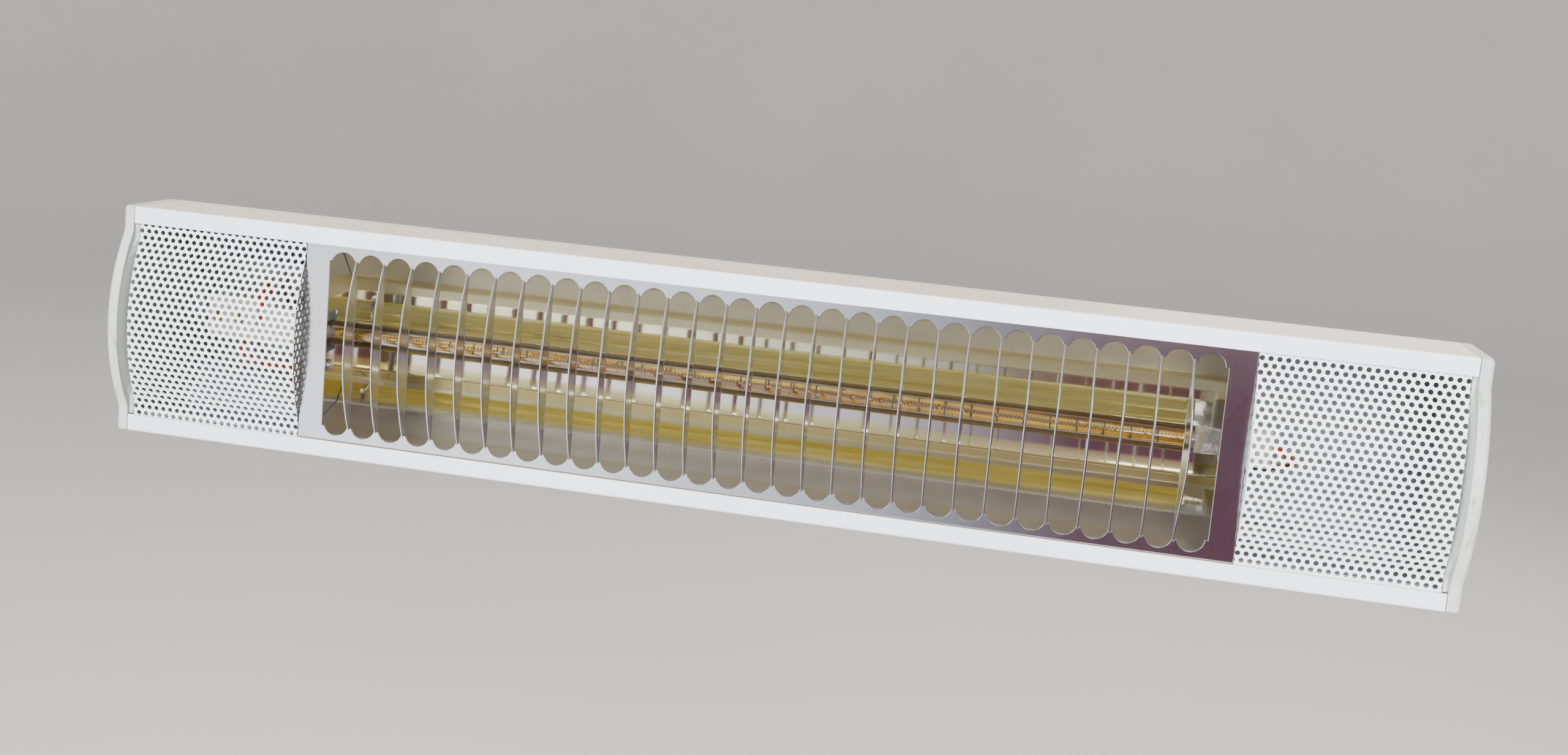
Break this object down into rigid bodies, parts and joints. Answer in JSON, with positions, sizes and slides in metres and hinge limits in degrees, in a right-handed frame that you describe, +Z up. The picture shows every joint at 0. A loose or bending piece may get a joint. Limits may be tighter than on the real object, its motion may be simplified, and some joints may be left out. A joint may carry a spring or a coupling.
{
  "type": "infrared patio heater",
  "caption": "Long slim wall-mounted infrared heater with a slotted, ribbed aluminium guard, perforated side panels, a gold quartz lamp in a faceted reflector and a tilting bracket",
  "frame": {"origin": "centre of the wall bracket's back face, which lies on the wall", "axes": "the heater faces -Y, +Y points into the wall, its length runs along X and +Z is up"},
  "size_m": [0.6, 0.1385, 0.106],
  "materials": {
    "white_paint": "satin powder coat",
    "cap_paint": "satin powder coat over a casting",
    "grille_paint": "satin powder coat",
    "satin_aluminium": "fine brushed",
    "mirror_aluminium": "polished",
    "gold_quartz": "gold-coated quartz",
    "clear_quartz": "clear quartz",
    "tungsten": "drawn wire",
    "ceramic": "unglazed ceramic",
    "zinc": "zinc plated",
    "brass": "turned",
    "aluminium": "satin",
    "lead_sheath": "silicone sheath",
    "polyamide": "moulded",
    "rubber": "moulded",
    "bracket_paint": "powder coat",
    "knob": "moulded"
  },
  "bodies": {
    "wall_side": {"wall_bracket": "bracket_paint", "pivot_bolt_left": "zinc", "pivot_bolt_right": "zinc", "pivot_nut_left": "zinc", "pivot_nut_right": "zinc", "friction_washer_left": "polyamide", "friction_washer_right": "polyamide"},
    "heater": {"bracket_rivet_left": "aluminium", "bracket_rivet_right": "aluminium", "cap_screw_left_1": "zinc", "cap_screw_left_2": "zinc", "cap_screw_left_3": "zinc", "cap_screw_left_4": "zinc", "cap_screw_right_1": "zinc", "cap_screw_right_2": "zinc", "cap_screw_right_3": "zinc", "cap_screw_right_4": "zinc", "end_cap_left": "cap_paint", "end_cap_right": "cap_paint", "front_guard": "satin_aluminium", "gland_body": "polyamide", "gland_locknut": "polyamide", "gland_nut": "polyamide", "gland_seal": "rubber", "housing_extrusion": "white_paint", "lamp_base_left": "ceramic", "lamp_base_right": "ceramic", "lamp_bracket_left": "zinc", "lamp_bracket_right": "zinc", "lamp_filament": "tungsten", "lamp_lead_left": "lead_sheath", "lamp_lead_right": "lead_sheath", "lamp_pinch_left": "clear_quartz", "lamp_pinch_right": "clear_quartz", "lamp_tube": "gold_quartz", "reflector": "mirror_aluminium", "reflector_end_left": "mirror_aluminium", "reflector_end_right": "mirror_aluminium", "side_grille_left": "grille_paint", "side_grille_right": "grille_paint", "slot_bolt_left": "zinc", "slot_bolt_right": "zinc", "slot_nut_left": "zinc", "slot_nut_right": "zinc", "terminal_block": "ceramic", "terminal_plate": "zinc", "terminal_screw_1": "brass", "terminal_screw_2": "brass", "terminal_screw_3": "brass", "tilt_yoke": "bracket_paint"},
    "knob_left": {"lock_knob_left": "knob"},
    "knob_right": {"lock_knob_right": "knob"}
  },
  "joints": [
    {"name": "tilt", "type": "hinge", "parent": "wall_side", "child": "heater", "pos_m": [0, -0.038, 0], "axis": [1, 0, 0], "range_deg": [-30, 60]},
    {"name": "knob_left_turn", "type": "hinge", "parent": "heater", "child": "knob_left", "pos_m": [-0.082, -0.0535, 0], "axis": [1, 0, 0], "continuous": true},
    {"name": "knob_right_turn", "type": "hinge", "parent": "heater", "child": "knob_right", "pos_m": [0.082, -0.0535, 0], "axis": [1, 0, 0], "continuous": true}
  ]
}
